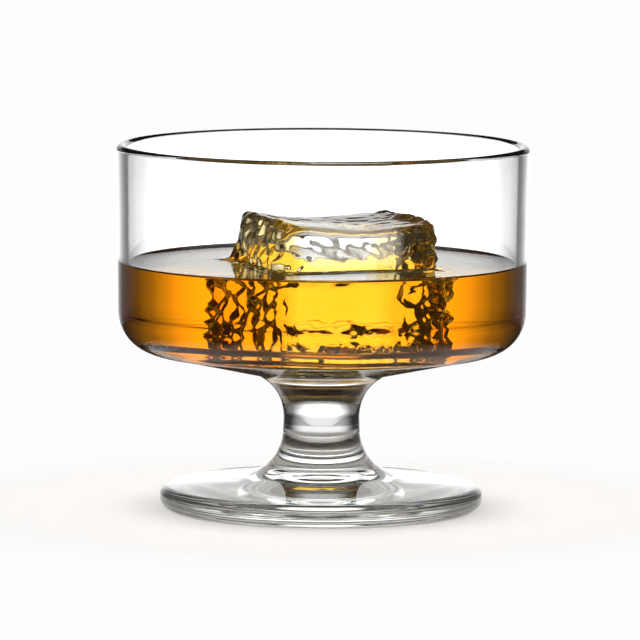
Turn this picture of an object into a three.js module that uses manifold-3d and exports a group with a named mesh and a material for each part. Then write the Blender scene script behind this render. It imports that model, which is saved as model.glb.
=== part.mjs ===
// A small coupe glass on a short stem, holding an amber drink and one ice cube.
// Millimetres, +Z up, origin at the centre of the foot's underside.
import * as THREE from "three";
import { RoundedBoxGeometry } from "three/addons/geometries/RoundedBoxGeometry.js";
import { mergeVertices } from "three/addons/utils/BufferGeometryUtils.js";
import Module from "manifold-3d";

// Foot
const FOOT_RADIUS = 32.8;
const FOOT_EDGE = 4.35; // thickness at the rim of the foot
const FOOT_EDGE_ROUND = 2.1;
const FOOT_TOP_ANGLE = 8; // degrees the top rises towards the stem

// Stem
const STEM_RADIUS = 7.75;
const STEM_LENGTH = 18.2; // top of the foot to underside of the bowl, at the stem's side
const LOWER_FLARE = 9.7; // radius of the sweep into the foot
const UPPER_FLARE = 8.8; // radius of the sweep into the bowl

// Bowl
const RIM_RADIUS = 42; // outside of the wall, at the rim
const BOWL_HEIGHT = 49.7; // rim down to where the underside's cone would meet the axis
const WALL = 2.3;
const WALL_LEAN = 0.7; // degrees the wall leans out towards the rim
const RIM_FLAT = 0.1; // level strip left on the rounded rim
const UNDERSIDE_ANGLE = 12.1; // degrees the underside rises towards the wall
const BOWL_CORNER = 8.7; // outside radius between underside and wall
const HOLLOW_CORNER = 2.5; // inside radius between floor and wall
const FLOOR = 2.7; // glass between the stem and the middle of the floor
const FLOOR_ANGLE = 13.5; // degrees the floor rises towards the wall
const FLOOR_ROUND = 100; // radius of the dished middle of the floor

// Drink
const DRINK_DEPTH = 19.4; // over the middle of the floor
const DRINK_GAP = 0.2; // clearance between drink and bowl

// Ice cube
const ICE_SIDE = 34;
const ICE_HEIGHT = 25.2;
const ICE_ROUND = 3.6;
const ICE_OFFSET = 2.3; // middle of the cube to the glass's axis, along X
const ICE_YAW = 19; // degrees its sides are turned from the X and Y axes
const ICE_GAP = 0.3; // clearance between cube and drink
const ICE_FILM = 0.4; // least drink left under the cube

// Faceting
const SEGMENTS = 72; // sides of every round
const ARC_STEP = 16; // largest turn, in degrees, between points of an arc
const FLOOR_STEPS = 3; // steps of the dished middle of the floor
const ICE_STEPS = 3; // steps of half a rounded edge of the cube
const SAME_POINT = 1e-6;

const slope = (degrees) => Math.tan(THREE.MathUtils.degToRad(degrees));
const corner = (radius, height, round = 0) => ({ at: new THREE.Vector2(radius, height), round });

// How far along each side a rounded corner reaches, where the sides meet at the given angle.
const roundReach = (round, angle) => round / Math.tan(angle / 2);

// The points of an outline whose corners are rounded by arcs that touch both sides.
function outline(corners) {
  const points = [];
  const add = (point) => {
    const last = points.at(-1);
    if (!last || last.distanceTo(point) > SAME_POINT) points.push(point);
  };
  corners.forEach(({ at, round }, i) => {
    if (round === 0) {
      add(at);
      return;
    }
    const back = corners[i - 1].at.clone().sub(at).normalize();
    const ahead = corners[i + 1].at.clone().sub(at).normalize();
    const angle = Math.acos(back.dot(ahead));
    const start = at.clone().addScaledVector(back, roundReach(round, angle));
    const middle = back.clone().add(ahead).normalize();
    const centre = at.clone().addScaledVector(middle, round / Math.sin(angle / 2));
    const turn = (Math.PI - angle) * Math.sign(ahead.cross(back));
    const steps = Math.ceil(Math.abs(turn) / THREE.MathUtils.degToRad(ARC_STEP));
    for (let k = 0; k <= steps; k++) add(start.clone().rotateAround(centre, (turn * k) / steps));
  });
  return points;
}

// A solid of revolution about Z, its outline running up the outside and back down the inside.
function turned(points) {
  return new THREE.LatheGeometry(points, SEGMENTS).rotateX(Math.PI / 2);
}

// Heights of the sloping faces at a radius
const footTop = (radius) => FOOT_EDGE + (FOOT_RADIUS - radius) * slope(FOOT_TOP_ANGLE);
const stemTop = footTop(STEM_RADIUS) + STEM_LENGTH;
const underside = (radius) => stemTop + (radius - STEM_RADIUS) * slope(UNDERSIDE_ANGLE);
const rimHeight = underside(0) + BOWL_HEIGHT;

// The two flares share the stem's length, so a short stem makes both of them smaller.
const lowerAngle = THREE.MathUtils.degToRad(90 + FOOT_TOP_ANGLE);
const upperAngle = THREE.MathUtils.degToRad(90 + UNDERSIDE_ANGLE);
const flareRoom = roundReach(LOWER_FLARE, lowerAngle) + roundReach(UPPER_FLARE, upperAngle);
const flareShare = Math.min(1, STEM_LENGTH / flareRoom);
const lowerFlare = LOWER_FLARE * flareShare;
const upperFlare = UPPER_FLARE * flareShare;

// The stem is joined to foot and bowl on level faces, where its flares run out.
const footJointRadius = STEM_RADIUS + roundReach(lowerFlare, lowerAngle) * Math.sin(lowerAngle);
const bowlJointRadius = STEM_RADIUS + roundReach(upperFlare, upperAngle) * Math.sin(upperAngle);
const footJoint = footTop(footJointRadius);
const bowlJoint = underside(bowlJointRadius);

// The hollow of the bowl, or the drink's outside, which keeps a gap to it
const floorTurn = THREE.MathUtils.degToRad(FLOOR_ANGLE);
const floorMiddle = bowlJoint + FLOOR;
const dishEdge = FLOOR_ROUND * Math.sin(floorTurn);
const dishRise = FLOOR_ROUND * (1 - Math.cos(floorTurn));
const floorAt = (radius) => floorMiddle + dishRise + (radius - dishEdge) * slope(FLOOR_ANGLE);
const wallOutside = (height) => RIM_RADIUS - (rimHeight - height) * slope(WALL_LEAN);

// The corner between two sloping lines: the floor or underside, and the leaning wall.
function wallCorner(height, rise, inset, round) {
  const lean = slope(WALL_LEAN);
  const radius = (wallOutside(height) - inset) / (1 - lean * slope(rise));
  return corner(radius, height + radius * slope(rise), round);
}

function hollowCorner(gap) {
  return wallCorner(floorAt(0) + gap, FLOOR_ANGLE, WALL + gap, HOLLOW_CORNER - gap);
}

// The dished middle of the floor, from its edge in to the axis.
function dish(gap) {
  const points = [];
  for (let k = FLOOR_STEPS; k >= 0; k--) {
    const angle = (floorTurn * k) / FLOOR_STEPS;
    const lift = FLOOR_ROUND * (1 - Math.cos(angle));
    points.push(corner(FLOOR_ROUND * Math.sin(angle), floorMiddle + gap + lift));
  }
  return points;
}

function footGeometry() {
  const edgeRound = Math.min(FOOT_EDGE_ROUND, FOOT_EDGE / 2);
  return turned(
    outline([
      corner(0, 0),
      corner(FOOT_RADIUS, 0, edgeRound),
      corner(FOOT_RADIUS, FOOT_EDGE, edgeRound),
      corner(footJointRadius, footJoint),
      corner(0, footJoint),
    ]),
  );
}

function stemGeometry() {
  return turned(
    outline([
      corner(0, footJoint),
      corner(footJointRadius, footJoint),
      corner(STEM_RADIUS, footTop(STEM_RADIUS), lowerFlare),
      corner(STEM_RADIUS, stemTop, upperFlare),
      corner(bowlJointRadius, bowlJoint),
      corner(0, bowlJoint),
    ]),
  );
}

function bowlGeometry() {
  const rimRound = (WALL - RIM_FLAT) / 2;
  return turned(
    outline([
      corner(0, bowlJoint),
      corner(bowlJointRadius, bowlJoint),
      wallCorner(underside(0), UNDERSIDE_ANGLE, 0, BOWL_CORNER),
      corner(RIM_RADIUS, rimHeight, rimRound),
      corner(RIM_RADIUS - WALL, rimHeight, rimRound),
      hollowCorner(0),
      ...dish(0),
    ]),
  );
}

// The cube stands over the floor where the outermost of its lower corners comes closest.
const iceCornerRadius = ICE_OFFSET + (ICE_SIDE / 2 - ICE_ROUND) * Math.SQRT2;
const iceSeat = Math.max(floorMiddle, floorAt(iceCornerRadius));
const iceBottom = iceSeat + DRINK_GAP + ICE_FILM + ICE_GAP;
const drinkLevel = floorMiddle + DRINK_DEPTH;

// A rounded block over the cube's place, grown by a gap on its sides and below.
function iceBlock(height, gap) {
  const side = ICE_SIDE + 2 * gap;
  return new RoundedBoxGeometry(side, side, height, ICE_STEPS, ICE_ROUND + gap)
    .translate(0, 0, iceBottom - gap + height / 2)
    .rotateZ(THREE.MathUtils.degToRad(ICE_YAW))
    .translate(ICE_OFFSET, 0, 0);
}

const wasm = await Module();
wasm.setup();

// A geometry as a solid that can be cut.
function solid(geometry) {
  geometry.deleteAttribute("normal");
  geometry.deleteAttribute("uv");
  const merged = mergeVertices(geometry);
  return new wasm.Manifold(
    new wasm.Mesh({
      numProp: 3,
      vertProperties: merged.getAttribute("position").array,
      triVerts: new Uint32Array(merged.index.array),
    }),
  );
}

function fromSolid(cut) {
  const mesh = cut.getMesh();
  const geometry = new THREE.BufferGeometry();
  geometry.setAttribute("position", new THREE.BufferAttribute(mesh.vertProperties, mesh.numProp));
  geometry.setIndex(new THREE.BufferAttribute(mesh.triVerts, 1));
  geometry.computeVertexNormals();
  return geometry;
}

// The drink fills the bowl up to its level, with an open well where the cube stands.
function drinkGeometry() {
  const wallAtLevel = wallOutside(drinkLevel) - WALL - DRINK_GAP;
  const body = turned(
    outline([
      corner(0, drinkLevel),
      corner(wallAtLevel, drinkLevel),
      hollowCorner(DRINK_GAP),
      ...dish(DRINK_GAP),
    ]).reverse(),
  );
  const wellHeight = drinkLevel - iceBottom + ICE_HEIGHT;
  return fromSolid(solid(body).subtract(solid(iceBlock(wellHeight, ICE_GAP))));
}

// Finishes
const CLEAR_GLASS = { color: 0xf2f5f4, roughness: 0.03, metalness: 0, transparent: true, opacity: 0.35 };
const AMBER_DRINK = { color: 0xe09a10, roughness: 0.05, metalness: 0, transparent: true, opacity: 0.75 };
const CLEAR_ICE = { color: 0xe9eef0, roughness: 0.12, metalness: 0, transparent: true, opacity: 0.5 };

function piece(name, geometry, finish) {
  const mesh = new THREE.Mesh(geometry, new THREE.MeshStandardMaterial(finish));
  mesh.name = name;
  return mesh;
}

const glass = new THREE.Group();
glass.add(
  piece("foot", footGeometry(), CLEAR_GLASS),
  piece("stem", stemGeometry(), CLEAR_GLASS),
  piece("bowl", bowlGeometry(), CLEAR_GLASS),
);

const contents = new THREE.Group();
contents.add(
  piece("drink", drinkGeometry(), AMBER_DRINK),
  piece("ice_cube", iceBlock(ICE_HEIGHT, 0), CLEAR_ICE),
);

const coupe = new THREE.Group();
coupe.add(glass, contents);

export default coupe;
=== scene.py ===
"""Looks of a mini coupe glass: clear glass, an amber drink and one clear ice cube on a white table.

Metres, +Z up, origin at the centre of the foot's underside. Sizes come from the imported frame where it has
them, and lengths in the settings are metres too.
"""

import math

import bpy
import numpy as np
from mathutils import Matrix, Vector


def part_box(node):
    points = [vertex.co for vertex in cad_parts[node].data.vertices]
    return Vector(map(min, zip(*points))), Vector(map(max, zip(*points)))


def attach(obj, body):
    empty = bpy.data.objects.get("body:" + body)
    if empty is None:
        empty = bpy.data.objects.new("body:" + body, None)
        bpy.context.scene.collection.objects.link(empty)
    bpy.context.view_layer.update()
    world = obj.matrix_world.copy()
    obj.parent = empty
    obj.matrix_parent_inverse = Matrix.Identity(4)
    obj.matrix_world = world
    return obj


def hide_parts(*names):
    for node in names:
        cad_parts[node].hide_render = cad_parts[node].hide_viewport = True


bl_info = {
    "name": "Mini coupe glass",
    "version": (1, 0, 0),
    "blender": (4, 5, 0),
    "location": "3D View > Sidebar > Coupe",
    "description": "Builds a coupe glass with its drink, its ice cube and a white studio",
    "category": "Add Mesh",
}

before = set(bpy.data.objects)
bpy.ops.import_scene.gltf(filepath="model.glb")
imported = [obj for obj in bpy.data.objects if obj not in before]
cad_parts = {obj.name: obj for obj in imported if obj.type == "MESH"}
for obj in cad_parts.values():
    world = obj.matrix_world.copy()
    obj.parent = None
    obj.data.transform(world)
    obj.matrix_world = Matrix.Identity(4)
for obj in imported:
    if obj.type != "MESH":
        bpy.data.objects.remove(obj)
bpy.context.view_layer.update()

MM = 0.001
SENSOR = 36.0
CAMERA_ASIDE = -0.42 * MM
NEAR_CLIP = 0.05
BOUNCES = 32
MIRROR_BOUNCES = 12

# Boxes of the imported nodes, which the sizes below start from
FOOT_LOW, FOOT_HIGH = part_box("foot")
BOWL_LOW, BOWL_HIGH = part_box("bowl")
DRINK_LOW, DRINK_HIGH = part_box("drink")
ICE_LOW, ICE_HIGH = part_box("ice_cube")

# Meshes
COLUMNS_GLASS = 256
COLUMNS_DRINK = 384
ARC_STEP = math.radians(4)
RING_COUNT = 7
RING_ROUND = 4 * MM

# Panel behind the glass, with shares of its light by millimetres off its middle and by height
PANEL_DISTANCE = 216 * MM
PANEL_LIGHT = 2.2
ACROSS_DRINK = (  # for light that has crossed the drink
    (30, 0.95), (50, 0.84), (68, 0.62), (86, 0.38),
    (110, 0.19), (154, 0.08), (215, 0.035), (400, 0.012),
)
ACROSS_CLEAR = (  # for light in clear glass
    (30, 0.95), (50, 0.9), (68, 0.76), (86, 0.55),
    (104, 0.4), (130, 0.23), (160, 0.1), (400, 0.012),
)
UPWARD_CLEAR = ((-10, 0.42), (-3, 0.5), (8, 0.95), (40, 0.95), (65, 0.68), (120, 0.6))
UPWARD_DRINK = ((-10, 0.95), (57, 0.92), (90, 0.8), (120, 0.6))

# Room that the glass sees, and the dome that lights the table
ROOM_LIGHT = 0.03  # its darkest part
SIDE_LIGHT = 1.05  # beside and behind the camera
MANY_LIGHT = 0.4  # table met at a low angle through the drink
DEEP_LIGHT = 0.06  # table met from above through the drink
DOME_LIGHT = 5.0  # near the horizon, all round
LOST_LIGHT = 0.97  # of the table's light, where it is hidden
FEW_BENDS = 2.5  # light in foot, stem and rim has been refracted fewer times than this
MANY_BENDS = 4.5  # light in the drink and the ice more often than this
NEAR_SHADE = 0.7  # of the dome's light, lost through foot, stem or rim
FAR_SHADE = 0.2  # of the dome's light, lost through more

# Table
TABLE_RADIUS = 140 * MM
TABLE_SIDES = 96
TABLE_DROP = 0.1 * MM
TABLE_FADE = (60 * MM, 95 * MM)  # radii between which it fades into the backdrop
FOOT_SHADE = (9 * MM, 22 * MM)  # radii between which the shade under the stem dies out
FOOT_DARK = 0.15  # what that shade leaves
DRINK_SHADE = -0.88  # shade seen through the drink

# Optics
HAIR = 0.005 * MM  # half the strip in which the glass turns from dry to wetted
WETTED = "wetted"
GLASS_IOR = 1.51
DRINK_IOR = 1.36
ICE_IOR = 1.31
ICE_FILM = "#E9C05E"  # drink that clings to the rough ends of the ice
PAINTED_AMBER_REFLECTION = "#C07A14"  # painted reflection: amber tint on light that glances off the wetted glass, standing in for the drink's amber light
OVERLAP = 0.06 * MM  # how far the drink reaches into the glass, and into the ice at the waterline
ICE_AIR = 0.1 * MM  # film of air between ice and drink, which is what makes the sunk ice sparkle
ICE_SEAL = 1.5 * MM  # depth under the waterline at which that film is open
FROST = "#F4F4F2"

GLASS_DENSITY = 8.0  # strength of the glass's tint, per metre
ICE_TINT = (0.97, 0.99, 1.0, 1.0)
ICE_DENSITY = 2.0

# Patterns: size and height
WAVE_PHASE = 20  # phase of a wave texture per metre, at a scale of 1
MOULD_WAVES = (14 * MM, 0.012 * MM)
FLOOR_RIPPLES = (3.5 * MM, 0.25 * MM)
DRINK_SWIRL = (20 * MM, 0.01 * MM)
ICE_PITS = (2.5 * MM, 0.05 * MM)

# Film and frost on the ice: where each comes in along a way, as shares of the ice's width
FILM_RIGHT = (0.36, 0.44)
FILM_LEFT = (0.28, 0.36)
FROST_LEFT = (-0.33, -0.25)
FROST_RIGHT = (-0.3, -0.24)
FROST_FRONT = (0.4, 0.47)
FROST_HEIGHT = (0.5 * MM, 2 * MM)  # over the drink

# Relief of the ice: wavelength and seed of each sum of waves, and where it shows
BROAD_LUMPS = (18 * MM, 3)
RIDGES = (5 * MM, 8)
FINE_RIDGES = (2.6 * MM, 5)
GRAIN = (2.6 * MM, 12)
WAVE_COUNT = 20
WAVE_SPREAD = (0.7, 1.5)  # shortest and longest wave of a sum, as shares of its wavelength
RIDGE_CREST = 0.7  # height of a ridge's crest over the mean skin, as a share
FINE_SHARE = 0.45  # height of the fine ridges, as a share of the broad ones
CALM_SHARE = 0.5  # how much lower the ridges are over the drink
CALM_HEIGHT = 3 * MM  # height over the drink at which they are that low
BROKEN_SIDES = (0.66, 0.9)  # shares of half the width between which the sides turn rough
ROUGH_EDGE = (0.5, 0.75)  # the same for the sunk edge
SUNK_EDGE = 6 * MM  # height of the rough edge over the ice's bottom
SUNK_FADE = 3 * MM  # height in which that edge turns smooth
MELT_DEPTH = 4 * MM  # depth in the drink at which the ice is as narrow as it gets
TOP_BEND = 0.2  # share of the dry height at which the top's hollow starts to bend the sides
HOLLOW_DROP = 0.3  # share of the hollow's depth that lies under the ice's height

# Ice: the power of its squircle, and how its outline is divided
ICE_POWER = 10
ICE_ARC = 12
ICE_WET_ROWS = 40
ICE_DRY_ROWS = 16
ICE_LOW_ROWS = 26
ICE_TOP_ROWS = 30
ICE_MIDDLE = 0.04  # share of the width at which the faces end in their poles
SURFACE_ROWS = 64  # rings of the drink's surface
SHARP_EDGE = math.radians(60)


def linear(code):
    """The linear colour of an sRGB hex code: each channel is (c + 0.055) / 1.055 to the power 2.4."""
    parts = np.array([int(code[i : i + 2], 16) for i in (1, 3, 5)]) / 255
    low = parts / 12.92
    high = ((parts + 0.055) / 1.055) ** 2.4
    return tuple(np.where(parts <= 0.04045, low, high))


def sine(degrees):
    """The sine of an angle in degrees, which is how high a way with that slope points."""
    return math.sin(math.radians(degrees))


# Room by direction: a name, the value that it follows, and where it starts and ends
ROOM_STEPS = (
    ("low", "height", sine(-6.2), sine(-8)),
    ("steep", "height", sine(-29), sine(-34)),
    ("wide", "aside", 0.3, 0.75),
    ("shallow", "height", sine(-28), sine(-14)),
    ("level", "height", sine(30), sine(10)),
    ("front", "ahead", 0.1, 0.35),
    ("dome", "height", sine(38), sine(22)),
)

# Room by sums: a name, what is done, and to which two values
ROOM_SUMS = (
    ("few", "LESS_THAN", "bends", FEW_BENDS),
    ("many", "GREATER_THAN", "bends", MANY_BENDS),
    ("hidden", "MAXIMUM", "steep", "wide"),
    ("hidden", "MULTIPLY", "few", "hidden"),
    ("dim", "MULTIPLY", "shallow", MANY_LIGHT - DEEP_LIGHT),
    ("dim", "ADD", DEEP_LIGHT, "dim"),
    ("deep", "SUBTRACT", 1.0, "dim"),
    ("deep", "MULTIPLY", "many", "deep"),
    ("shut", "ADD", "hidden", "deep"),
    ("shut", "MULTIPLY", "shut", LOST_LIGHT),
    ("open", "SUBTRACT", 1.0, "shut"),
    ("table", "MULTIPLY", "low", "open"),
    ("table", "MULTIPLY", "front", "table"),
    ("back", "SUBTRACT", 1.0, "front"),
    ("sides", "MULTIPLY", "level", SIDE_LIGHT),
    ("sides", "MULTIPLY", "back", "sides"),
    ("unmirrored", "LESS_THAN", "mirrors", 0.5),
    ("sides", "MULTIPLY", "sides", "unmirrored"),
    ("room", "ADD", "table", "sides"),
    ("room", "MULTIPLY", "room", "through"),
    ("room", "MAXIMUM", "room", ROOM_LIGHT),
    ("near", "GREATER_THAN", "bends", 0.5),
    ("near", "MULTIPLY", "near", "few"),
    ("near", "MULTIPLY", "near", NEAR_SHADE),
    ("far", "GREATER_THAN", "bends", FEW_BENDS),
    ("far", "MULTIPLY", "far", FAR_SHADE),
    ("free", "SUBTRACT", 1.0, "near"),
    ("free", "SUBTRACT", "free", "far"),
    ("free", "MULTIPLY", "free", DOME_LIGHT),
    ("dome", "MULTIPLY", "dome", "free"),
)


def length(label, note, default):
    """The fields of a property that holds a length in metres."""
    return {"name": label, "description": note, "default": default, "unit": "LENGTH", "precision": 5}


def turn(label, note, degrees):
    """The fields of a property that holds an angle."""
    return {"name": label, "description": note, "default": math.radians(degrees), "subtype": "ANGLE"}


def colour(label, note, code):
    """The fields of a property that holds a colour, given as an sRGB hex code."""
    fields = {"name": label, "description": note, "default": linear(code)}
    return fields | {"subtype": "COLOR", "min": 0, "max": 1}


class CoupeGlassSettings(bpy.types.PropertyGroup):
    """Sizes and tint of the glass."""

    foot_edge: bpy.props.FloatProperty(
        **length("Foot edge", "Thickness at the rim of the foot", 4.35 * MM)
    )
    edge_round: bpy.props.FloatProperty(**length("Edge round", "Radius of the foot's edge", 2.1 * MM))
    ring_step: bpy.props.FloatProperty(
        **length("Ring step", "Half the spacing of the rings under it", 2.3 * MM)
    )
    ring_depth: bpy.props.FloatProperty(
        **length("Ring depth", "Depth of the rings under the foot", 0.2 * MM)
    )
    foot_slope: bpy.props.FloatProperty(**turn("Foot slope", "Rise of the foot's top to the stem", 8))
    stem_radius: bpy.props.FloatProperty(**length("Stem radius", "Half the stem's width", 7.75 * MM))
    lower_flare: bpy.props.FloatProperty(
        **length("Lower flare", "Sweep of the stem into the foot", 9.7 * MM)
    )
    upper_flare: bpy.props.FloatProperty(
        **length("Upper flare", "Sweep of the stem into the bowl", 8.8 * MM)
    )
    wall: bpy.props.FloatProperty(**length("Wall", "Thickness of the bowl's wall", 2.3 * MM))
    wall_lean: bpy.props.FloatProperty(**turn("Wall lean", "Lean of the wall out to the rim", 0.7))
    rim_flat: bpy.props.FloatProperty(**length("Rim flat", "Level strip on the rim", 0.1 * MM))
    underside_slope: bpy.props.FloatProperty(
        **turn("Underside slope", "Rise of the bowl's underside", 12.1)
    )
    bowl_corner: bpy.props.FloatProperty(**length("Bowl corner", "Round from underside to wall", 8.7 * MM))
    hollow_corner: bpy.props.FloatProperty(**length("Hollow corner", "Round from floor to wall", 2.5 * MM))
    floor: bpy.props.FloatProperty(**length("Floor", "Glass over the stem's top", 2.7 * MM))
    floor_slope: bpy.props.FloatProperty(**turn("Floor slope", "Rise of the inner floor", 13.5))
    floor_round: bpy.props.FloatProperty(**length("Floor round", "Radius of the floor's dish", 100 * MM))
    tint: bpy.props.FloatVectorProperty(
        **colour("Tint", "Colour left by a long way in the glass", "#F6FCF9")
    )


class CoupeDrinkSettings(bpy.types.PropertyGroup):
    """Surface and colour of the drink."""

    wall_rise: bpy.props.FloatProperty(**length("Wall rise", "Climb of the drink up the wall", 0.9 * MM))
    ice_rise: bpy.props.FloatProperty(**length("Ice rise", "Climb of the drink up the ice", 0.6 * MM))
    reach: bpy.props.FloatProperty(**length("Reach", "Distance over which the climb dies out", 1.8 * MM))
    tint: bpy.props.FloatVectorProperty(
        **colour("Tint", "Colour that passes through the drink", "#FFE700")
    )
    density: bpy.props.FloatProperty(
        name="Density", description="Strength of the colour, per metre", default=90
    )


class CoupeIceSettings(bpy.types.PropertyGroup):
    """Shape and colour of the ice cube."""

    yaw: bpy.props.FloatProperty(**turn("Turn", "Turn of the cube seen from above", 19))
    side: bpy.props.FloatProperty(**length("Side", "Width of the cube", 34 * MM))
    edge_round: bpy.props.FloatProperty(**length("Edge round", "Radius of the worn edges", 3.6 * MM))
    top_round: bpy.props.FloatProperty(**length("Top round", "Radius of the top's edges", 1.7 * MM))
    melt: bpy.props.FloatProperty(
        **length("Melt", "How much narrower each side is in the drink", 1.9 * MM)
    )
    lumps: bpy.props.FloatProperty(**length("Lumps", "Height of the broad lumps", 0.16 * MM))
    ridges: bpy.props.FloatProperty(
        **length("Ridges", "Height of the ridges on the broken sides", 0.7 * MM)
    )
    frost: bpy.props.FloatProperty(
        name="Frost", description="Share of white frost on the front side", default=0.3, subtype="FACTOR"
    )
    grain: bpy.props.FloatProperty(**length("Grain", "Height of the fine lumps all over", 0.035 * MM))
    lean: bpy.props.FloatProperty(**length("Lean", "How far the left side leans in at the top", 2.2 * MM))
    hollow: bpy.props.FloatProperty(**length("Hollow", "Depth of the top's hollow", 1.6 * MM))
    tip: bpy.props.FloatProperty(
        **length("Tip", "Height of the left of the top over its middle", 0.25 * MM)
    )


class CoupeStageSettings(bpy.types.PropertyGroup):
    """Camera, table and light."""

    distance: bpy.props.FloatProperty(**length("Distance", "Camera to the glass's axis", 1.4428))
    height: bpy.props.FloatProperty(**length("Height", "Camera over the table", 0.1964))
    pitch: bpy.props.FloatProperty(**turn("Pitch", "Camera's look down", 6.254))
    roll: bpy.props.FloatProperty(**turn("Roll", "Camera's lean", 0.36))
    lens: bpy.props.FloatProperty(name="Lens", description="Focal length in millimetres", default=401.8)
    backdrop: bpy.props.FloatVectorProperty(**colour("Backdrop", "Background behind the glass", "#FDFDFD"))
    table: bpy.props.FloatVectorProperty(**colour("Table", "Table top under the foot", "#F2F2F2"))


def add_node(tree, kind, inputs=None, **settings):
    """A new node with its settings, each input set to a value or linked from another node's socket."""
    node = tree.nodes.new(kind)
    for name, value in settings.items():
        setattr(node, name, value)
    for socket, value in (inputs or {}).items():
        if isinstance(value, bpy.types.NodeSocket):
            tree.links.new(value, node.inputs[socket])
        else:
            node.inputs[socket].default_value = value
    return node


def new_tree(name):
    """A new material and its empty node tree."""
    material = bpy.data.materials.new(name)
    material.use_nodes = True
    material.node_tree.nodes.clear()
    return material, material.node_tree


def rounded_outline(corners):
    """Points and outward normals of an outline from its corners, each a radius, a height and a round.

    A round is an arc that touches both sides of its corner. Its points turn about its centre in equal
    steps, and the normals turn with them. A normal is the way along the outline turned a quarter turn
    clockwise.
    """
    places = np.array([corner[:2] for corner in corners])
    ways = np.diff(places, axis=0)
    ways /= np.linalg.norm(ways, axis=1)[:, None]
    normals = np.stack([ways[:, 1], -ways[:, 0]], axis=1)
    points = [places[:1]]
    facing = [normals[:1]]
    for i, (_, _, radius) in enumerate(corners[1:-1], start=1):
        before, after = normals[i - 1], normals[i]
        bend = math.atan2(before[0] * after[1] - before[1] * after[0], before @ after)
        reach = radius * math.tan(abs(bend) / 2)
        centre = places[i] - ways[i - 1] * reach - before * radius * np.sign(bend)
        steps = math.ceil(abs(bend) / ARC_STEP) + 1
        angle = np.linspace(0, bend, steps)[:, None]
        turned = before * np.cos(angle) + np.array([-before[1], before[0]]) * np.sin(angle)
        points.append(centre + turned * radius * np.sign(bend))
        facing.append(turned)
    points.append(places[-1:])
    facing.append(normals[-1:])
    return np.concatenate(points), np.concatenate(facing)


def revolve(profile, angles):
    """Rings (rows, columns, 3) of a profile of radius and height, carried round Z through the angles."""
    radius = profile[:, :1]
    height = np.broadcast_to(profile[:, 1:], (len(profile), len(angles)))
    return np.stack([radius * np.cos(angles), radius * np.sin(angles), height], axis=-1)


def closed_skin(name, rows, start, end, normals=None, wetted=None):
    """An object whose skin runs over rings (rows, columns, 3) from one pole point to another.

    Neighbouring rings are joined by quads, and the first and last ring by a fan to their pole. Where
    wetted is given, it says for both poles and each ring between them whether glass and drink touch there.
    """
    count, columns = rows.shape[:2]
    points = np.concatenate([[start], rows.reshape(-1, 3), [end]]).astype(np.float32)
    ring = np.arange(columns)
    following = np.roll(ring, -1)
    first = 1 + columns * np.arange(count - 1)[:, None]
    quads = np.stack(
        [first + ring, first + following, first + columns + following, first + columns + ring], axis=-1
    )
    last = 1 + columns * (count - 1)
    start_fan = np.stack([np.zeros_like(ring), 1 + following, 1 + ring], axis=-1)
    end_fan = np.stack([last + ring, last + following, np.full_like(ring, len(points) - 1)], axis=-1)
    corners = np.concatenate([start_fan.ravel(), quads.ravel(), end_fan.ravel()]).astype(np.int32)
    sizes = np.repeat([3, 4, 3], [columns, columns * (count - 1), columns])
    mesh = bpy.data.meshes.new(name)
    mesh.vertices.add(len(points))
    mesh.vertices.foreach_set("co", points.ravel())
    mesh.loops.add(len(corners))
    mesh.loops.foreach_set("vertex_index", corners)
    mesh.polygons.add(len(sizes))
    mesh.polygons.foreach_set("loop_start", (np.cumsum(sizes) - sizes).astype(np.int32))
    mesh.update(calc_edges=True)
    mesh.polygons.foreach_set("use_smooth", np.ones(len(sizes), dtype=bool))
    if mesh.validate():
        raise RuntimeError(f"the skin of {name} isn't sound")
    if normals is not None:
        mesh.normals_split_custom_set_from_vertices(normals.astype(np.float32))
    if wetted is not None:
        mark = np.concatenate([wetted[:1], np.repeat(wetted[1:-1], columns), wetted[-1:]])
        mesh.attributes.new(WETTED, "FLOAT", "POINT").data.foreach_set("value", mark.astype(np.float32))
    piece = bpy.data.objects.new(name, mesh)
    bpy.context.scene.collection.objects.link(piece)
    return piece


def dress(piece, material, body, slot, *nodes):
    """Gives a piece its material, puts it on its body and hides the imported nodes that it stands for."""
    piece.data.materials.append(material)
    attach(piece, body)
    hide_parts(*nodes)


def wall_corner(glass, height, slope, inset, radius):
    """The corner where a cone that rises from a height on the axis meets the wall, set in by inset."""
    lean = math.tan(glass.wall_lean)
    rise = math.tan(slope)
    on_wall = BOWL_HIGH.x - (BOWL_HIGH.z - height) * lean - inset
    reach = on_wall / (1 - lean * rise)
    return (reach, height + reach * rise, radius)


def hollow_corners(glass):
    """Corners of the bowl's hollow, from the top of its wall down to the middle of the dished floor."""
    middle = BOWL_LOW.z + glass.floor
    dish = glass.floor_round * math.tan(glass.floor_slope / 2)
    cone = middle - dish * math.tan(glass.floor_slope)
    bend = wall_corner(glass, cone, glass.floor_slope, glass.wall, glass.hollow_corner)
    return [bend, (dish, middle, glass.floor_round), (0.0, middle, 0.0)]


def wall_inside(glass, height):
    """Radius of the wall's inside at a height."""
    return BOWL_HIGH.x - glass.wall - (BOWL_HIGH.z - height) * math.tan(glass.wall_lean)


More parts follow.
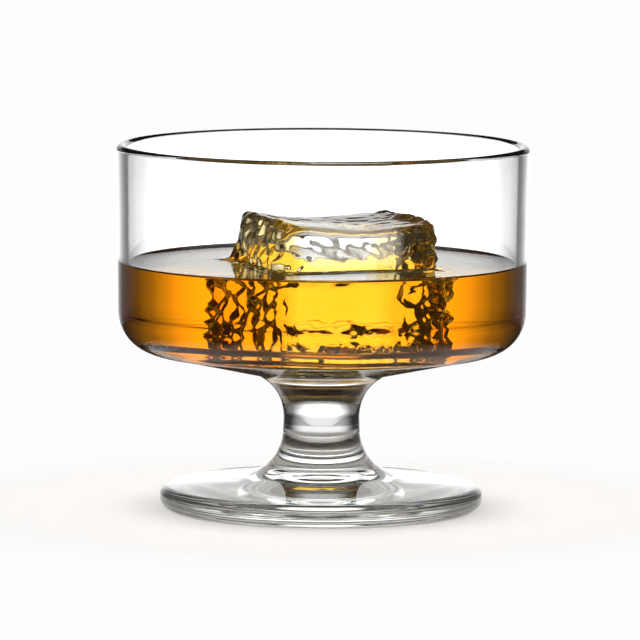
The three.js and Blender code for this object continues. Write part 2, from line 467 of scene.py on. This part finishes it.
def glass_corners(glass, contact):
    """Corners of the whole glass: out under the foot, up the outside, over the rim, down to the floor."""
    foot_radius = FOOT_HIGH.x
    stem_foot = glass.foot_edge + (foot_radius - glass.stem_radius) * math.tan(glass.foot_slope)
    flare_end = math.pi / 2 + glass.underside_slope
    spread = glass.upper_flare / math.tan(flare_end / 2) * math.sin(flare_end)
    stem_head = BOWL_LOW.z - spread * math.tan(glass.underside_slope)
    cone = stem_head - glass.stem_radius * math.tan(glass.underside_slope)
    rim_round = (glass.wall - glass.rim_flat) / 2
    return [
        (0.0, 0.0, 0.0),
        *((k * glass.ring_step, glass.ring_depth * (k % 2), RING_ROUND) for k in range(1, RING_COUNT)),
        (foot_radius, 0.0, glass.edge_round),
        (foot_radius, glass.foot_edge, glass.edge_round),
        (glass.stem_radius, stem_foot, glass.lower_flare),
        (glass.stem_radius, stem_head, glass.upper_flare),
        wall_corner(glass, cone, glass.underside_slope, 0.0, glass.bowl_corner),
        (BOWL_HIGH.x, BOWL_HIGH.z, rim_round),
        (BOWL_HIGH.x - glass.wall, BOWL_HIGH.z, rim_round),
        (wall_inside(glass, contact + HAIR), contact + HAIR, 0.0),
        (wall_inside(glass, contact - HAIR), contact - HAIR, 0.0),
        *hollow_corners(glass),
    ]


def pressed_glass(glass):
    """Clear soda-lime glass, pressed and fire polished.

    It is seen by its dark edges and by what it bends, with a slow waviness left by the mould and hardly
    any tint. Where the drink wets it, it bends light less, and what glances off it outside the stem has a
    painted amber tint, which stands in for the drink's amber light seen in that reflection.
    """
    material, tree = new_tree("pressed_soda_lime_glass")
    place = add_node(tree, "ShaderNodeTexCoord")
    waves = add_node(
        tree,
        "ShaderNodeTexNoise",
        {"Vector": place.outputs["Object"], "Scale": 1 / MOULD_WAVES[0], "Detail": 1.0},
    )
    wavy = add_node(
        tree,
        "ShaderNodeBump",
        {"Height": waves.outputs["Fac"], "Strength": 1.0, "Distance": MOULD_WAVES[1]},
    )
    rings = add_node(
        tree,
        "ShaderNodeTexWave",
        {
            "Vector": place.outputs["Object"],
            "Scale": 2 * math.pi / (WAVE_PHASE * FLOOR_RIPPLES[0]),
            "Distortion": 3.0,
            "Detail": 1.0,
            "Detail Scale": 0.3,
        },
        wave_type="RINGS",
        rings_direction="Z",
    )
    flat = add_node(
        tree, "ShaderNodeVectorMath", {0: place.outputs["Object"], 1: (1, 1, 0)}, operation="MULTIPLY"
    )
    radius = add_node(tree, "ShaderNodeVectorMath", {0: flat.outputs["Vector"]}, operation="LENGTH")
    outside = add_node(
        tree,
        "ShaderNodeMapRange",
        {
            "Value": radius.outputs["Value"],
            "From Min": glass.stem_radius + glass.upper_flare,
            "From Max": glass.stem_radius + 2 * glass.upper_flare,
        },
    )
    rippled = add_node(
        tree,
        "ShaderNodeBump",
        {
            "Height": rings.outputs["Fac"],
            "Strength": outside.outputs["Result"],
            "Distance": FLOOR_RIPPLES[1],
        },
    )
    polished = {"Base Color": (1, 1, 1, 1), "Roughness": 0.0, "Transmission Weight": 1.0}
    dry = add_node(
        tree, "ShaderNodeBsdfPrincipled", polished | {"IOR": GLASS_IOR, "Normal": wavy.outputs["Normal"]}
    )
    ratio = GLASS_IOR / DRINK_IOR
    rippling = {"Normal": rippled.outputs["Normal"]}
    bend = add_node(tree, "ShaderNodeBsdfRefraction", rippling | {"Roughness": 0.0, "IOR": ratio})
    # painted reflection: outside the stem the mirror off the wetted glass is tinted amber
    glow = add_node(
        tree,
        "ShaderNodeMixRGB",
        {"Fac": outside.outputs["Result"], "Color1": (1, 1, 1, 1), "Color2": (*linear(PAINTED_AMBER_REFLECTION), 1)},
    )
    mirror = add_node(
        tree,
        "ShaderNodeBsdfAnisotropic",
        rippling | {"Color": glow.outputs["Color"], "Roughness": 0.0},
    )
    glance = add_node(tree, "ShaderNodeFresnel", rippling | {"IOR": ratio})
    wet = add_node(
        tree,
        "ShaderNodeMixShader",
        {0: glance.outputs["Fac"], 1: bend.outputs["BSDF"], 2: mirror.outputs["BSDF"]},
    )
    wetted = add_node(tree, "ShaderNodeAttribute", attribute_name=WETTED)
    surface = add_node(
        tree,
        "ShaderNodeMixShader",
        {0: wetted.outputs["Fac"], 1: dry.outputs["BSDF"], 2: wet.outputs["Shader"]},
    )
    inside = add_node(
        tree, "ShaderNodeVolumeAbsorption", {"Color": (*glass.tint, 1), "Density": GLASS_DENSITY}
    )
    add_node(
        tree,
        "ShaderNodeOutputMaterial",
        {"Surface": surface.outputs["Shader"], "Volume": inside.outputs["Volume"]},
    )
    return material


def amber_spirit(drink):
    """Aged spirit, a clear amber liquid.

    It takes out blue at once and green slowly, so thin parts are yellow and long ways through it deep
    orange.
    """
    material, tree = new_tree("amber_spirit")
    place = add_node(tree, "ShaderNodeTexCoord")
    swirl = add_node(
        tree,
        "ShaderNodeTexNoise",
        {"Vector": place.outputs["Object"], "Scale": 1 / DRINK_SWIRL[0], "Detail": 1.0},
    )
    ripple = add_node(
        tree,
        "ShaderNodeBump",
        {"Height": swirl.outputs["Fac"], "Strength": 1.0, "Distance": DRINK_SWIRL[1]},
    )
    liquid = {"Base Color": (1, 1, 1, 1), "Roughness": 0.0, "Transmission Weight": 1.0}
    free = add_node(
        tree, "ShaderNodeBsdfPrincipled", liquid | {"IOR": DRINK_IOR, "Normal": ripple.outputs["Normal"]}
    )
    held = add_node(tree, "ShaderNodeBsdfPrincipled", liquid | {"IOR": 1.0})
    wetted = add_node(tree, "ShaderNodeAttribute", attribute_name=WETTED)
    surface = add_node(
        tree,
        "ShaderNodeMixShader",
        {"Fac": wetted.outputs["Fac"], 1: free.outputs["BSDF"], 2: held.outputs["BSDF"]},
    )
    inside = add_node(
        tree, "ShaderNodeVolumeAbsorption", {"Color": (*drink.tint, 1), "Density": drink.density}
    )
    add_node(
        tree,
        "ShaderNodeOutputMaterial",
        {"Surface": surface.outputs["Shader"], "Volume": inside.outputs["Volume"]},
    )
    return material


def share_along(tree, point, way, start, end, most=1.0):
    """An output that climbs from 0 to most while a point goes from start to end along a way."""
    along = add_node(tree, "ShaderNodeVectorMath", {0: point, 1: way}, operation="DOT_PRODUCT")
    share = add_node(
        tree,
        "ShaderNodeMapRange",
        {"Value": along.outputs["Value"], "From Min": start, "From Max": end, "To Max": most},
    )
    return share.outputs["Result"]


def clear_ice(ice):
    """Clear ice that has begun to melt.

    It is seen by what it bends: a wet, smooth skin over small pits, golden where drink clings to its rough
    ends, and paler in the middle of its front, where a little frost is left.
    """
    material, tree = new_tree("clear_wet_ice")
    place = add_node(tree, "ShaderNodeTexCoord")
    pits = add_node(
        tree,
        "ShaderNodeTexNoise",
        {"Vector": place.outputs["Object"], "Scale": 1 / ICE_PITS[0], "Detail": 1.0},
    )
    pitted = add_node(
        tree,
        "ShaderNodeBump",
        {"Height": pits.outputs["Fac"], "Strength": 1.0, "Distance": ICE_PITS[1]},
    )
    wet = {
        "Roughness": 0.0,
        "IOR": ICE_IOR,
        "Transmission Weight": 1.0,
        "Normal": pitted.outputs["Normal"],
    }
    clear = add_node(tree, "ShaderNodeBsdfPrincipled", wet | {"Base Color": (1, 1, 1, 1)})
    film = add_node(tree, "ShaderNodeBsdfPrincipled", wet | {"Base Color": (*linear(ICE_FILM), 1)})
    frost = add_node(
        tree,
        "ShaderNodeBsdfPrincipled",
        {"Base Color": (*linear(FROST), 1), "Roughness": 0.4, "Normal": pitted.outputs["Normal"]},
    )
    front = Vector((math.sin(ice.yaw), -math.cos(ice.yaw), 0))
    right = Vector((math.cos(ice.yaw), math.sin(ice.yaw), 0))
    point = place.outputs["Object"]
    skin = clear.outputs["BSDF"]
    for way, (start, end) in ((right, FILM_RIGHT), (-right, FILM_LEFT)):
        rough = share_along(tree, point, way, start * ice.side, end * ice.side)
        coated = add_node(tree, "ShaderNodeMixShader", {0: rough, 1: skin, 2: film.outputs["BSDF"]})
        skin = coated.outputs["Shader"]
    start, end = (DRINK_HIGH.z + height for height in FROST_HEIGHT)
    frosted = share_along(tree, point, Vector((0, 0, 1)), start, end, ice.frost)
    for way, (start, end) in ((-right, FROST_LEFT), (right, FROST_RIGHT), (front, FROST_FRONT)):
        frosted = share_along(tree, point, way, start * ice.side, end * ice.side, frosted)
    surface = add_node(tree, "ShaderNodeMixShader", {0: frosted, 1: skin, 2: frost.outputs["BSDF"]})
    inside = add_node(tree, "ShaderNodeVolumeAbsorption", {"Color": ICE_TINT, "Density": ICE_DENSITY})
    add_node(
        tree,
        "ShaderNodeOutputMaterial",
        {"Surface": surface.outputs["Shader"], "Volume": inside.outputs["Volume"]},
    )
    return material


def waves(points, wavelength, seed):
    """Smooth lumps about 1 high: a sum of sine waves in seeded directions, near a wavelength."""
    draw = np.random.default_rng(seed)
    ways = draw.normal(size=(WAVE_COUNT, 3))
    ways /= np.linalg.norm(ways, axis=1)[:, None]
    ways *= 2 * np.pi / (wavelength * draw.uniform(*WAVE_SPREAD, size=(WAVE_COUNT, 1)))
    shift = draw.uniform(0, 2 * np.pi, size=WAVE_COUNT)
    return np.sin(points @ ways.T + shift).sum(axis=-1) * math.sqrt(2 / WAVE_COUNT)


def smooth_step(value, low, high):
    """0 under low, 1 over high, and 3t^2 - 2t^3 between them."""
    t = np.clip((value - low) / (high - low), 0, 1)
    return t * t * (3 - 2 * t)


def ring_normals(rows):
    """Unit normals of rings of points: the way round crossed with the way up, by central differences."""
    around = np.roll(rows, -1, axis=1) - np.roll(rows, 1, axis=1)
    upward = np.gradient(rows, axis=0)
    facing = np.cross(around, upward)
    return facing / np.linalg.norm(facing, axis=-1)[..., None]


def ice_form(ice, contact):
    """Rings of the ice cube from bottom to top, its poles, and how many rings lie up to the contact.

    In plan it is a squircle, radius half / (|cos|^n + |sin|^n)^(1/n). Its outline in height is level,
    then a quarter round, then upright, and narrower where the drink has melted it. Each point is moved
    along its normal by sums of sine waves: slow ones all over, and sharp ridges on the two broken sides
    and along the sunk edge, which are lower over the drink.
    """
    angles = np.linspace(0, 2 * np.pi, COLUMNS_DRINK, endpoint=False)
    half = ice.side / 2
    powers = np.abs(np.cos(angles)) ** ICE_POWER + np.abs(np.sin(angles)) ** ICE_POWER
    plan = half / powers ** (1 / ICE_POWER)
    low, high = ICE_LOW.z, ICE_HIGH.z
    bend = np.linspace(0, np.pi / 2, ICE_ARC)

    def quarter(radius):
        return 1 - radius / half * (1 - np.sin(bend)), radius * (1 - np.cos(bend))

    low_scale, low_rise = quarter(ice.edge_round)
    top_scale, top_rise = quarter(ice.top_round)
    low_face = np.linspace(ICE_MIDDLE, low_scale[0], ICE_LOW_ROWS)[:-1]
    top_face = np.linspace(ICE_MIDDLE, top_scale[0], ICE_TOP_ROWS)[:-1]
    wet = np.linspace(low + ice.edge_round, contact, ICE_WET_ROWS)[1:]
    dry = np.linspace(contact, high - ice.top_round, ICE_DRY_ROWS)[1:-1]
    scale = np.concatenate(
        [low_face, low_scale, np.ones(len(wet) + len(dry)), top_scale[::-1], top_face[::-1]]
    )
    height = np.concatenate(
        [
            np.full(len(low_face), low),
            low + low_rise,
            wet,
            dry,
            high - top_rise[::-1],
            np.full(len(top_face), high),
        ]
    )
    melted = 1 - ice.melt / half * smooth_step(contact - height, 0, MELT_DEPTH)
    radius = (scale * melted)[:, None] * plan
    local = np.stack(
        [radius * np.cos(angles), radius * np.sin(angles), np.broadcast_to(height[:, None], radius.shape)],
        axis=-1,
    )
    share = np.clip((local[..., 2] - contact) / (high - contact), 0, 1)
    local[..., 0] *= np.where(local[..., 0] < 0, 1 - ice.lean / half * share, 1)
    across = local[..., 0] / half
    sag = ice.hollow * (across**2 - HOLLOW_DROP) - ice.tip * across
    local[..., 2] += smooth_step(share, TOP_BEND, 1) * sag
    poles = np.array([[[0, 0, low]], [[0, 0, high - HOLLOW_DROP * ice.hollow]]])

    def lift(points):
        rough = [share * half for share in BROKEN_SIDES]
        edge = [share * half for share in ROUGH_EDGE]
        broad = waves(points, *BROAD_LUMPS) * ice.lumps
        broken = smooth_step(np.abs(points[..., 0]), *rough)
        sunk_edge = smooth_step(low + SUNK_EDGE - points[..., 2], 0, SUNK_FADE)
        outward = smooth_step(np.abs(points[..., :2]).max(axis=-1), *edge)
        broken = np.maximum(broken, sunk_edge * outward)
        ridged = (RIDGE_CREST - np.abs(waves(points, *RIDGES))) * ice.ridges
        fine = waves(points, *FINE_RIDGES) * ice.ridges * FINE_SHARE
        grain = waves(points, *GRAIN) * ice.grain
        calm = 1 - CALM_SHARE * smooth_step(points[..., 2] - contact, 0, CALM_HEIGHT)
        return broad + grain + broken * calm * (ridged + fine)

    facing = ring_normals(local)
    local = local + facing * lift(local)[..., None]
    up = np.array([0, 0, 1])
    pole_lift = lift(poles)[:, 0]
    bottom = poles[0, 0] - up * pole_lift[0]
    top = poles[1, 0] + up * pole_lift[1]
    spin = np.array(Matrix.Rotation(ice.yaw, 3, "Z"))
    shift = np.array([(ICE_LOW.x + ICE_HIGH.x) / 2, (ICE_LOW.y + ICE_HIGH.y) / 2, 0])
    rings = local @ spin.T + shift
    return rings, bottom + shift, top + shift, len(low_face) + len(bend) + len(wet)


def drink_form(context):
    """Rings of the drink: up the bowl's hollow, in over the surface to the ice, and down round the ice.

    The surface is ruled between the wall and the ice. Its height over the level is each climb times
    exp(-d / reach), where d is the distance in plan to the wall or to the ice.
    """
    scene = context.scene
    drink, ice, glass = scene.coupe_drink, scene.coupe_ice, scene.coupe_glass
    level = DRINK_HIGH.z
    contact = level + drink.ice_rise
    rings, ice_bottom, _, wet = ice_form(ice, contact)
    angles = np.linspace(0, 2 * np.pi, COLUMNS_DRINK, endpoint=False) + ice.yaw

    corners = hollow_corners(glass)[::-1]
    wall_top = level + drink.wall_rise
    corners.append((wall_inside(glass, wall_top), wall_top, 0.0))
    profile, facing = rounded_outline(corners)
    profile = profile + facing * OVERLAP
    skin = revolve(profile[1:], angles)

    sunk = smooth_step(contact - rings[..., 2], 0, ICE_SEAL)
    pocket = rings + ring_normals(rings) * ((OVERLAP + ICE_AIR) * sunk - OVERLAP)[..., None]
    pocket = pocket[:wet][::-1]
    share = (1 - np.cos(np.linspace(0, np.pi, SURFACE_ROWS)[1:-1])) / 2
    outer, inner = skin[-1], pocket[0]
    surface = outer + (inner - outer) * share[:, None, None]
    width = np.linalg.norm((inner - outer)[:, :2], axis=-1)
    to_wall = share[:, None] * width
    to_ice = width - to_wall
    wall_climb = drink.wall_rise * np.exp(-to_wall / drink.reach)
    ice_climb = drink.ice_rise * np.exp(-to_ice / drink.reach)
    surface[..., 2] = level + (wall_climb + ice_climb)
    rows = np.concatenate([skin, surface, pocket])
    start = np.array([0, 0, profile[0, 1]])
    end = ice_bottom - np.array([0, 0, ICE_AIR])
    wetted = np.arange(len(rows) + 2) <= len(skin)
    return rows, start, end, None, wetted


class COUPE_OT_stage(bpy.types.Operator):
    """Add the camera, the white table and the soft studio light."""

    bl_idname = "coupe.stage"
    bl_label = "Add stage"

    def execute(self, context):
        scene = context.scene
        stage = scene.coupe_stage
        lens = bpy.data.cameras.new("camera")
        lens.lens = stage.lens
        lens.sensor_width = SENSOR
        lens.clip_start = NEAR_CLIP
        camera = bpy.data.objects.new("camera", lens)
        camera.matrix_world = (
            Matrix.Translation((CAMERA_ASIDE, -stage.distance, stage.height))
            @ Matrix.Rotation(math.pi / 2 - stage.pitch, 4, "X")
            @ Matrix.Rotation(stage.roll, 4, "Z")
        )
        scene.collection.objects.link(camera)
        scene.camera = camera
        scene.view_settings.view_transform = "Standard"
        scene.cycles.max_bounces = BOUNCES
        scene.cycles.transmission_bounces = BOUNCES
        scene.cycles.glossy_bounces = MIRROR_BOUNCES
        add_table(stage)
        add_studio(scene, stage)
        return {"FINISHED"}


def add_table(stage):
    """A white disc just under the foot, which keeps the soft shadow and fades out into the backdrop.

    It is shaded under the stem and where it is seen through the drink. Past the fade only the camera
    sees it.
    """
    angles = np.linspace(0, 2 * np.pi, TABLE_SIDES, endpoint=False)
    ring = revolve(np.array([[TABLE_RADIUS, -TABLE_DROP]]), angles)[0]
    mesh = bpy.data.meshes.new("table")
    mesh.from_pydata(ring.tolist(), [], [list(range(TABLE_SIDES))])
    table = bpy.data.objects.new("table", mesh)
    bpy.context.scene.collection.objects.link(table)
    material, tree = new_tree("white_table")
    place = add_node(tree, "ShaderNodeTexCoord")
    away = add_node(tree, "ShaderNodeVectorMath", {0: place.outputs["Object"]}, operation="LENGTH")
    fade = add_node(
        tree,
        "ShaderNodeMapRange",
        {"Value": away.outputs["Value"], "From Min": TABLE_FADE[0], "From Max": TABLE_FADE[1]},
        interpolation_type="SMOOTHSTEP",
    )
    seen = add_node(tree, "ShaderNodeLightPath")
    under = add_node(
        tree,
        "ShaderNodeMapRange",
        {
            "Value": away.outputs["Value"],
            "From Min": FOOT_SHADE[0],
            "From Max": FOOT_SHADE[1],
            "To Min": FOOT_DARK,
        },
        interpolation_type="SMOOTHSTEP",
    )
    many = add_node(
        tree,
        "ShaderNodeMath",
        {0: seen.outputs["Transmission Depth"], 1: MANY_BENDS},
        operation="GREATER_THAN",
    )
    grey = add_node(
        tree,
        "ShaderNodeMath",
        {0: many.outputs[0], 1: DRINK_SHADE, 2: under.outputs[0]},
        operation="MULTIPLY_ADD",
    )
    shade = add_node(
        tree,
        "ShaderNodeMix",
        {"Factor": grey.outputs[0], 6: (0, 0, 0, 1), 7: (*stage.table, 1)},
        data_type="RGBA",
    )
    paint = add_node(tree, "ShaderNodeBsdfDiffuse", {"Color": shade.outputs[2]})
    clear = add_node(tree, "ShaderNodeBsdfTransparent")
    white = add_node(tree, "ShaderNodeEmission", {"Color": (*stage.backdrop, 1), "Strength": 1.0})
    beyond = add_node(
        tree,
        "ShaderNodeMixShader",
        {"Fac": seen.outputs["Is Camera Ray"], 1: clear.outputs["BSDF"], 2: white.outputs["Emission"]},
    )
    mixed = add_node(
        tree,
        "ShaderNodeMixShader",
        {"Fac": fade.outputs["Result"], 1: paint.outputs["BSDF"], 2: beyond.outputs["Shader"]},
    )
    add_node(tree, "ShaderNodeOutputMaterial", {"Surface": mixed.outputs["Shader"]})
    mesh.materials.append(material)


def add_panel():
    """A glowing panel beyond the glass, brightest in its middle, which shows only in glass, drink and ice.

    Its light is the fall across times the fall upward, each a ramp between the stops of its table.
    """
    edge = ACROSS_DRINK[-1][0] * MM
    low, high = UPWARD_CLEAR[0][0] * MM, UPWARD_CLEAR[-1][0] * MM
    outline = ((-edge, low), (edge, low), (edge, high), (-edge, high))
    mesh = bpy.data.meshes.new("panel")
    mesh.from_pydata([(side, PANEL_DISTANCE, height) for side, height in outline], [], [[0, 1, 2, 3]])
    panel = bpy.data.objects.new("panel", mesh)
    bpy.context.scene.collection.objects.link(panel)
    material, tree = new_tree("glowing_panel")
    place = add_node(tree, "ShaderNodeTexCoord")
    parts = add_node(tree, "ShaderNodeSeparateXYZ", {0: place.outputs["Object"]})
    aside = add_node(tree, "ShaderNodeMath", {0: parts.outputs["X"]}, operation="ABSOLUTE")
    light = []
    for value, stops in (
        (aside.outputs[0], ACROSS_CLEAR),
        (aside.outputs[0], ACROSS_DRINK),
        (parts.outputs["Z"], UPWARD_CLEAR),
        (parts.outputs["Z"], UPWARD_DRINK),
    ):
        first, last = stops[0][0], stops[-1][0]
        share = add_node(
            tree, "ShaderNodeMapRange", {"Value": value, "From Min": first * MM, "From Max": last * MM}
        )
        fall = add_node(tree, "ShaderNodeValToRGB", {"Fac": share.outputs[0]})
        ends = fall.color_ramp.elements
        for stop in stops[1:-1]:
            ends.new((stop[0] - first) / (last - first))
        for element, stop in zip(ends, stops):
            element.color = (stop[1], stop[1], stop[1], 1)
        light.append(fall.outputs["Color"])
    seen = add_node(tree, "ShaderNodeLightPath")
    many = add_node(
        tree,
        "ShaderNodeMath",
        {0: seen.outputs["Transmission Depth"], 1: MANY_BENDS},
        operation="GREATER_THAN",
    )
    across = add_node(
        tree, "ShaderNodeMix", {"Factor": many.outputs[0], 6: light[0], 7: light[1]}, data_type="RGBA"
    )
    upward = add_node(
        tree, "ShaderNodeMix", {"Factor": many.outputs[0], 6: light[2], 7: light[3]}, data_type="RGBA"
    )
    both = add_node(
        tree,
        "ShaderNodeMix",
        {"Factor": 1.0, 6: across.outputs[2], 7: upward.outputs[2]},
        data_type="RGBA",
        blend_type="MULTIPLY",
    )
    glow = add_node(tree, "ShaderNodeEmission", {"Color": both.outputs[2], "Strength": PANEL_LIGHT})
    add_node(tree, "ShaderNodeOutputMaterial", {"Surface": glow.outputs["Emission"]})
    mesh.materials.append(material)
    panel.visible_camera = False
    panel.visible_diffuse = False
    panel.visible_shadow = False


def add_studio(scene, stage):
    """A white backdrop for the camera, a dome that lights the table, and for the glass a dark room.

    What is seen straight is the backdrop's white. Light that comes through the glass sees the room by its
    direction: a table ahead that is white at a low angle, and dim where it is hidden or met through the
    drink, and white walls beside and behind the camera.
    """
    world = bpy.data.worlds.new("studio")
    scene.world = world
    world.use_nodes = True
    tree = world.node_tree
    tree.nodes.clear()
    way = add_node(tree, "ShaderNodeTexCoord")
    parts = add_node(tree, "ShaderNodeSeparateXYZ", {0: way.outputs["Generated"]})
    seen = add_node(tree, "ShaderNodeLightPath")
    aside = add_node(tree, "ShaderNodeMath", {0: parts.outputs["X"]}, operation="ABSOLUTE")
    values = {
        "height": parts.outputs["Z"],
        "ahead": parts.outputs["Y"],
        "aside": aside.outputs[0],
        "bends": seen.outputs["Transmission Depth"],
        "mirrors": seen.outputs["Glossy Depth"],
        "through": seen.outputs["Is Transmission Ray"],
    }
    for name, value, start, end in ROOM_STEPS:
        step = add_node(
            tree,
            "ShaderNodeMapRange",
            {"Value": values[value], "From Min": start, "From Max": end},
            interpolation_type="SMOOTHSTEP",
        )
        values[name] = step.outputs["Result"]
    for name, kind, first, second in ROOM_SUMS:
        total = add_node(
            tree,
            "ShaderNodeMath",
            {0: values.get(first, first), 1: values.get(second, second)},
            operation=kind,
        )
        values[name] = total.outputs[0]
    straight = add_node(
        tree,
        "ShaderNodeMix",
        {"Factor": seen.outputs["Is Camera Ray"], 6: values["room"], 7: (*stage.backdrop, 1)},
        data_type="RGBA",
    )
    plain = add_node(
        tree,
        "ShaderNodeMix",
        {"Factor": seen.outputs["Diffuse Depth"], 6: straight.outputs[2], 7: values["dome"]},
        data_type="RGBA",
    )
    light = add_node(tree, "ShaderNodeBackground", {"Color": plain.outputs[2], "Strength": 1.0})
    add_node(tree, "ShaderNodeOutputWorld", {"Surface": light.outputs["Background"]})
    add_panel()


class COUPE_OT_glass(bpy.types.Operator):
    """Add the glass: foot, stem and bowl in one fused skin."""

    bl_idname = "coupe.glass"
    bl_label = "Add glass"

    def execute(self, context):
        glass = context.scene.coupe_glass
        contact = DRINK_HIGH.z + context.scene.coupe_drink.wall_rise
        angles = np.linspace(0, 2 * np.pi, COLUMNS_GLASS, endpoint=False)
        profile, facing = rounded_outline(glass_corners(glass, contact))
        inside = np.arange(len(profile)) > np.argmax(profile[:, 1])
        wetted = inside & (profile[:, 1] < contact)
        rings = revolve(profile[1:-1], angles)
        normals = revolve(facing[1:-1], angles).reshape(-1, 3)
        poles = np.array([[0, 0, -1], [0, 0, 1]])
        normals = np.concatenate([poles[:1], normals, poles[1:]])
        start = np.array([0, 0, profile[0, 1]])
        end = np.array([0, 0, profile[-1, 1]])
        piece = closed_skin("glass", rings, start, end, normals, wetted)
        dress(piece, pressed_glass(glass), "glass", "clear_glass", "foot", "stem", "bowl")
        return {"FINISHED"}


class COUPE_OT_drink(bpy.types.Operator):
    """Add the drink, which fills the bowl round the ice."""

    bl_idname = "coupe.drink"
    bl_label = "Add drink"

    def execute(self, context):
        piece = closed_skin("drink_fill", *drink_form(context))
        piece.data.set_sharp_from_angle(angle=SHARP_EDGE)
        dress(piece, amber_spirit(context.scene.coupe_drink), "drink", "amber_drink", "drink")
        return {"FINISHED"}


class COUPE_OT_ice(bpy.types.Operator):
    """Add the ice cube."""

    bl_idname = "coupe.ice"
    bl_label = "Add ice cube"

    def execute(self, context):
        scene = context.scene
        contact = DRINK_HIGH.z + scene.coupe_drink.ice_rise
        rings, bottom, top, _ = ice_form(scene.coupe_ice, contact)
        piece = closed_skin("ice_block", rings, bottom, top)
        dress(piece, clear_ice(scene.coupe_ice), "ice", "clear_ice", "ice_cube")
        return {"FINISHED"}


class COUPE_PT_panel(bpy.types.Panel):
    """Buttons and settings of the coupe glass."""

    bl_idname = "COUPE_PT_panel"
    bl_label = "Mini coupe glass"
    bl_space_type = "VIEW_3D"
    bl_region_type = "UI"
    bl_category = "Coupe"

    def draw(self, context):
        for operator, settings in PARTS:
            self.layout.operator(operator.bl_idname)
            group = getattr(context.scene, settings)
            column = self.layout.column()
            for name in group.__annotations__:
                column.prop(group, name)


SETTINGS = {
    "coupe_stage": CoupeStageSettings,
    "coupe_glass": CoupeGlassSettings,
    "coupe_drink": CoupeDrinkSettings,
    "coupe_ice": CoupeIceSettings,
}
PARTS = (
    (COUPE_OT_stage, "coupe_stage"),
    (COUPE_OT_glass, "coupe_glass"),
    (COUPE_OT_drink, "coupe_drink"),
    (COUPE_OT_ice, "coupe_ice"),
)
CLASSES = (*SETTINGS.values(), *(operator for operator, _ in PARTS), COUPE_PT_panel)


def register():
    """Registers the classes and gives the scene its settings."""
    for cls in CLASSES:
        bpy.utils.register_class(cls)
    for name, group in SETTINGS.items():
        setattr(bpy.types.Scene, name, bpy.props.PointerProperty(type=group))


def unregister():
    """Takes the settings and the classes away again."""
    for name in SETTINGS:
        delattr(bpy.types.Scene, name)
    for cls in reversed(CLASSES):
        bpy.utils.unregister_class(cls)


def main():
    """Builds the stage and the pieces."""
    register()
    bpy.ops.coupe.stage()
    bpy.ops.coupe.glass()
    bpy.ops.coupe.drink()
    bpy.ops.coupe.ice()


if __name__ == "__main__":
    main()
